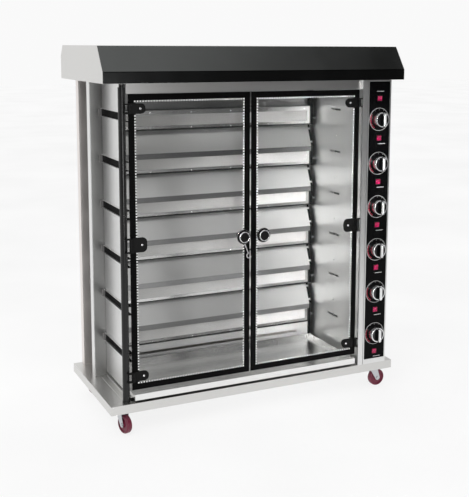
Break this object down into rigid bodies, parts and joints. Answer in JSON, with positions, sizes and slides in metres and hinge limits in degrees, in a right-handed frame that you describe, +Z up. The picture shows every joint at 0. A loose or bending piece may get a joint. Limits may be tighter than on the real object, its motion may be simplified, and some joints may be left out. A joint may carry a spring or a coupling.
{
  "type": "rotisserie oven",
  "caption": "Castored gas rotisserie cabinet with glass doors, tiered burners and reflectors, slotted side wall, spit drives and a control column under an overhanging canopy.",
  "frame": {"origin": "on the floor, under the middle of the whole outline", "axes": "+Z up, +X to the right seen from the front, -Y out of the front"},
  "size_m": [1.332, 0.6312, 1.524],
  "materials": {
    "black_plastic": "moulded black",
    "brass": "plain brass",
    "bright_stainless": "bright rolled stainless sheet",
    "cast": "die cast",
    "door_glass": "clear toughened glass with a printed black border",
    "fascia_black": "gloss black printed panel",
    "knob_chrome": "satin chrome",
    "plaque": "unglazed perforated ceramic",
    "red_switch": "translucent red",
    "satin_black": "satin black powder coat",
    "stainless": "brushed stainless sheet",
    "wheel_red": "dark red polyurethane",
    "zinc": "bright zinc plate"
  },
  "bodies": {
    "cabinet": {"back_panel": "stainless", "base_frame": "stainless", "burner_housings": "bright_stainless", "burner_plaques": "plaque", "canopy_front": "satin_black", "canopy_shell": "stainless", "castor_plates": "zinc", "ceiling_panel": "bright_stainless", "control_box": "stainless", "control_fascia": "fascia_black", "drive_motors": "cast", "feed_pipes": "brass", "front_left_post": "satin_black", "gas_manifold": "brass", "gas_valves": "brass", "header_rail": "stainless", "hinge_ears": "black_plastic", "left_wall": "stainless", "reflectors": "bright_stainless", "right_post": "stainless", "right_wall": "bright_stainless", "side_frames": "satin_black", "spit_rests": "satin_black", "switch_bodies": "black_plastic", "tray_runners": "stainless"},
    "left_door": {"left_door_glass": "door_glass", "left_hinge_clamps": "black_plastic", "left_door_knob": "black_plastic"},
    "right_door": {"right_door_glass": "door_glass", "right_hinge_clamps": "black_plastic", "right_door_knob": "black_plastic"},
    "latch": {"door_latch": "bright_stainless"},
    "knob_1": {"control_knob_1": "knob_chrome"},
    "knob_2": {"control_knob_2": "knob_chrome"},
    "knob_3": {"control_knob_3": "knob_chrome"},
    "knob_4": {"control_knob_4": "knob_chrome"},
    "knob_5": {"control_knob_5": "knob_chrome"},
    "knob_6": {"control_knob_6": "knob_chrome"},
    "switch_1": {"rocker_1": "red_switch"},
    "switch_2": {"rocker_2": "red_switch"},
    "switch_3": {"rocker_3": "red_switch"},
    "switch_4": {"rocker_4": "red_switch"},
    "switch_5": {"rocker_5": "red_switch"},
    "switch_6": {"rocker_6": "red_switch"},
    "switch_7": {"rocker_7": "red_switch"},
    "spit_drive_1": {"spit_socket_1": "bright_stainless"},
    "spit_drive_2": {"spit_socket_2": "bright_stainless"},
    "spit_drive_3": {"spit_socket_3": "bright_stainless"},
    "spit_drive_4": {"spit_socket_4": "bright_stainless"},
    "spit_drive_5": {"spit_socket_5": "bright_stainless"},
    "spit_drive_6": {"spit_socket_6": "bright_stainless"},
    "front_left_castor": {"front_left_castor_fork": "zinc"},
    "front_right_castor": {"front_right_castor_fork": "zinc"},
    "rear_left_castor": {"rear_left_castor_fork": "zinc"},
    "rear_right_castor": {"rear_right_castor_fork": "zinc"},
    "front_left_wheel": {"front_left_castor_wheel": "wheel_red"},
    "front_right_wheel": {"front_right_castor_wheel": "wheel_red"},
    "rear_left_wheel": {"rear_left_castor_wheel": "wheel_red"},
    "rear_right_wheel": {"rear_right_castor_wheel": "wheel_red"},
    "tray": {"drip_tray": "stainless"}
  },
  "joints": [
    {"name": "left_door_hinge", "type": "hinge", "parent": "cabinet", "child": "left_door", "pos_m": [-0.5555, -0.25935, 0.762], "axis": [0, 0, -1], "range_deg": [0, 110]},
    {"name": "right_door_hinge", "type": "hinge", "parent": "cabinet", "child": "right_door", "pos_m": [0.4635, -0.25935, 0.762], "axis": [0, 0, 1], "range_deg": [0, 110]},
    {"name": "latch_pivot", "type": "hinge", "parent": "left_door", "child": "latch", "pos_m": [-0.0905, -0.26735, 0.762], "axis": [0, -1, 0], "range_deg": [-21, 69]},
    {"name": "knob_1_turn", "type": "hinge", "parent": "cabinet", "child": "knob_1", "pos_m": [0.557, -0.26835, 1.216], "axis": [0, -1, 0], "range_deg": [0, 240]},
    {"name": "knob_2_turn", "type": "hinge", "parent": "cabinet", "child": "knob_2", "pos_m": [0.557, -0.26835, 1.026], "axis": [0, -1, 0], "range_deg": [0, 240]},
    {"name": "knob_3_turn", "type": "hinge", "parent": "cabinet", "child": "knob_3", "pos_m": [0.557, -0.26835, 0.836], "axis": [0, -1, 0], "range_deg": [0, 240]},
    {"name": "knob_4_turn", "type": "hinge", "parent": "cabinet", "child": "knob_4", "pos_m": [0.557, -0.26835, 0.646], "axis": [0, -1, 0], "range_deg": [0, 240]},
    {"name": "knob_5_turn", "type": "hinge", "parent": "cabinet", "child": "knob_5", "pos_m": [0.557, -0.26835, 0.456], "axis": [0, -1, 0], "range_deg": [0, 240]},
    {"name": "knob_6_turn", "type": "hinge", "parent": "cabinet", "child": "knob_6", "pos_m": [0.557, -0.26835, 0.266], "axis": [0, -1, 0], "range_deg": [0, 240]},
    {"name": "switch_1_rock", "type": "hinge", "parent": "cabinet", "child": "switch_1", "pos_m": [0.557, -0.26585, 1.306], "axis": [-1, 0, 0], "range_deg": [0, 14]},
    {"name": "switch_2_rock", "type": "hinge", "parent": "cabinet", "child": "switch_2", "pos_m": [0.557, -0.26585, 1.136], "axis": [-1, 0, 0], "range_deg": [0, 14]},
    {"name": "switch_3_rock", "type": "hinge", "parent": "cabinet", "child": "switch_3", "pos_m": [0.557, -0.26585, 0.946], "axis": [-1, 0, 0], "range_deg": [0, 14]},
    {"name": "switch_4_rock", "type": "hinge", "parent": "cabinet", "child": "switch_4", "pos_m": [0.557, -0.26585, 0.756], "axis": [-1, 0, 0], "range_deg": [0, 14]},
    {"name": "switch_5_rock", "type": "hinge", "parent": "cabinet", "child": "switch_5", "pos_m": [0.557, -0.26585, 0.566], "axis": [-1, 0, 0], "range_deg": [0, 14]},
    {"name": "switch_6_rock", "type": "hinge", "parent": "cabinet", "child": "switch_6", "pos_m": [0.557, -0.26585, 0.376], "axis": [-1, 0, 0], "range_deg": [0, 14]},
    {"name": "switch_7_rock", "type": "hinge", "parent": "cabinet", "child": "switch_7", "pos_m": [0.557, -0.26585, 0.186], "axis": [-1, 0, 0], "range_deg": [0, 14]},
    {"name": "spit_drive_1_turn", "type": "hinge", "parent": "cabinet", "child": "spit_drive_1", "pos_m": [0.4915, -0.02435, 1.245], "axis": [1, 0, 0], "continuous": true},
    {"name": "spit_drive_2_turn", "type": "hinge", "parent": "cabinet", "child": "spit_drive_2", "pos_m": [0.4915, -0.02435, 1.055], "axis": [1, 0, 0], "continuous": true},
    {"name": "spit_drive_3_turn", "type": "hinge", "parent": "cabinet", "child": "spit_drive_3", "pos_m": [0.4915, -0.02435, 0.865], "axis": [1, 0, 0], "continuous": true},
    {"name": "spit_drive_4_turn", "type": "hinge", "parent": "cabinet", "child": "spit_drive_4", "pos_m": [0.4915, -0.02435, 0.675], "axis": [1, 0, 0], "continuous": true},
    {"name": "spit_drive_5_turn", "type": "hinge", "parent": "cabinet", "child": "spit_drive_5", "pos_m": [0.4915, -0.02435, 0.485], "axis": [1, 0, 0], "continuous": true},
    {"name": "spit_drive_6_turn", "type": "hinge", "parent": "cabinet", "child": "spit_drive_6", "pos_m": [0.4915, -0.02435, 0.295], "axis": [1, 0, 0], "continuous": true},
    {"name": "front_left_castor_swivel", "type": "hinge", "parent": "cabinet", "child": "front_left_castor", "pos_m": [-0.588, -0.20635, 0.095], "axis": [0, 0, 1], "continuous": true},
    {"name": "front_right_castor_swivel", "type": "hinge", "parent": "cabinet", "child": "front_right_castor", "pos_m": [0.588, -0.20635, 0.095], "axis": [0, 0, 1], "continuous": true},
    {"name": "rear_left_castor_swivel", "type": "hinge", "parent": "cabinet", "child": "rear_left_castor", "pos_m": [-0.588, 0.22965, 0.095], "axis": [0, 0, 1], "continuous": true},
    {"name": "rear_right_castor_swivel", "type": "hinge", "parent": "cabinet", "child": "rear_right_castor", "pos_m": [0.588, 0.22965, 0.095], "axis": [0, 0, 1], "continuous": true},
    {"name": "front_left_wheel_roll", "type": "hinge", "parent": "front_left_castor", "child": "front_left_wheel", "pos_m": [-0.58231, -0.2276, 0.0375], "axis": [0.9659, 0.2588, 0], "continuous": true},
    {"name": "front_right_wheel_roll", "type": "hinge", "parent": "front_right_castor", "child": "front_right_wheel", "pos_m": [0.61, -0.20635, 0.0375], "axis": [0, 1, 0], "continuous": true},
    {"name": "rear_left_wheel_roll", "type": "hinge", "parent": "rear_left_castor", "child": "rear_left_wheel", "pos_m": [-0.56675, 0.22396, 0.0375], "axis": [0.2588, 0.9659, 0], "continuous": true},
    {"name": "rear_right_wheel_roll", "type": "hinge", "parent": "rear_right_castor", "child": "rear_right_wheel", "pos_m": [0.60062, 0.21163, 0.0375], "axis": [0.8192, 0.5736, 0], "continuous": true},
    {"name": "tray_slide", "type": "slide", "parent": "cabinet", "child": "tray", "axis": [0, -1, 0], "range_m": [0, 0.36]}
  ]
}
